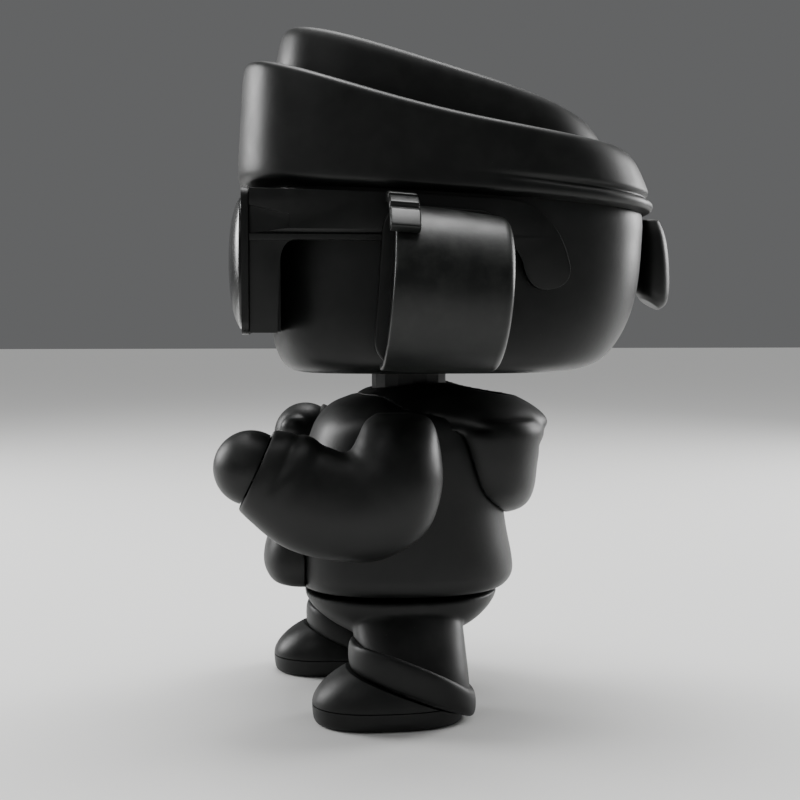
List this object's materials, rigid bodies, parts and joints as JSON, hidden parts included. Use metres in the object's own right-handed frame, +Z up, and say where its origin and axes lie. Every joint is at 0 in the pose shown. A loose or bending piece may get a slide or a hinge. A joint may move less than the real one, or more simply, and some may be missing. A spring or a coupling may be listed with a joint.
{
  "type": "vinyl art toy",
  "caption": "Standing chibi street-dancer figure in black satin vinyl with a wedge hat, wide dome-lens glasses, side drums, hooded top and jointed head, waist, arms and hands.",
  "frame": {"origin": "on the floor, under the centre of the object's bounding box", "axes": "+Z up, the figure faces -Y and its left side is +X"},
  "size_m": [0.1462, 0.147, 0.2086],
  "materials": {
    "hoodie": "satin near-black vinyl with a faint orange-peel",
    "trousers": "matte near-black vinyl",
    "shoes": "satin near-black vinyl",
    "skin": "satin near-black vinyl with fine dust",
    "hat": "satin near-black vinyl",
    "drum": "semi-gloss black, dusty on top",
    "grille": "semi-gloss black",
    "glasses": "semi-gloss black",
    "lens": "gloss black",
    "pegs": "unpainted black plastic"
  },
  "bodies": {
    "legs": {"pelvis": "trousers", "waist_peg": "pegs", "left_leg": "trousers", "left_trouser_cuff": "trousers", "left_shoe": "shoes", "left_sole": "shoes", "right_leg": "trousers", "right_trouser_cuff": "trousers", "right_shoe": "shoes", "right_sole": "shoes"},
    "torso": {"hoodie_body": "hoodie", "hood": "hoodie", "front_pocket": "hoodie", "neck_peg": "pegs", "left_shoulder_peg": "pegs", "right_shoulder_peg": "pegs"},
    "left_arm": {"left_sleeve": "hoodie", "left_wrist_peg": "pegs"},
    "left_fist": {"left_hand": "skin"},
    "right_arm": {"right_sleeve": "hoodie", "right_wrist_peg": "pegs"},
    "right_fist": {"right_hand": "skin"},
    "head": {"head_shell": "skin", "hat_band": "hat", "hat_crown": "hat", "hat_tail": "hat", "left_drum_post": "pegs", "right_drum_post": "pegs", "left_drum_plate": "glasses", "right_drum_plate": "glasses", "left_drum_shell": "drum", "right_drum_shell": "drum", "left_drum_grille": "grille", "right_drum_grille": "grille", "left_clamp_block": "drum", "right_clamp_block": "drum"},
    "glasses": {"glasses_frame": "glasses", "left_lens": "lens", "right_lens": "lens", "left_temple": "glasses", "right_temple": "glasses"}
  },
  "joints": [
    {"name": "waist_turn", "type": "hinge", "parent": "legs", "child": "torso", "pos_m": [0, -0.01215, 0.0358], "axis": [0, 0, 1], "continuous": true},
    {"name": "neck_turn", "type": "hinge", "parent": "torso", "child": "head", "pos_m": [0, -0.01215, 0.1043], "axis": [0, 0, 1], "continuous": true},
    {"name": "left_shoulder", "type": "hinge", "parent": "torso", "child": "left_arm", "pos_m": [0.0316, -0.01665, 0.0833], "axis": [1, 0, 0], "range_deg": [-15, 40]},
    {"name": "right_shoulder", "type": "hinge", "parent": "torso", "child": "right_arm", "pos_m": [-0.0316, -0.01665, 0.0833], "axis": [1, 0, 0], "range_deg": [-15, 40]},
    {"name": "left_wrist", "type": "hinge", "parent": "left_arm", "child": "left_fist", "pos_m": [0.0384, -0.061, 0.0773], "axis": [0, -0.9081, 0.4188], "continuous": true},
    {"name": "right_wrist", "type": "hinge", "parent": "right_arm", "child": "right_fist", "pos_m": [-0.0384, -0.0429, 0.0806], "axis": [0, -0.9219, 0.3875], "continuous": true},
    {"name": "glasses_pull", "type": "slide", "parent": "head", "child": "glasses", "axis": [0, -1, 0], "range_m": [0, 0.1]}
  ]
}
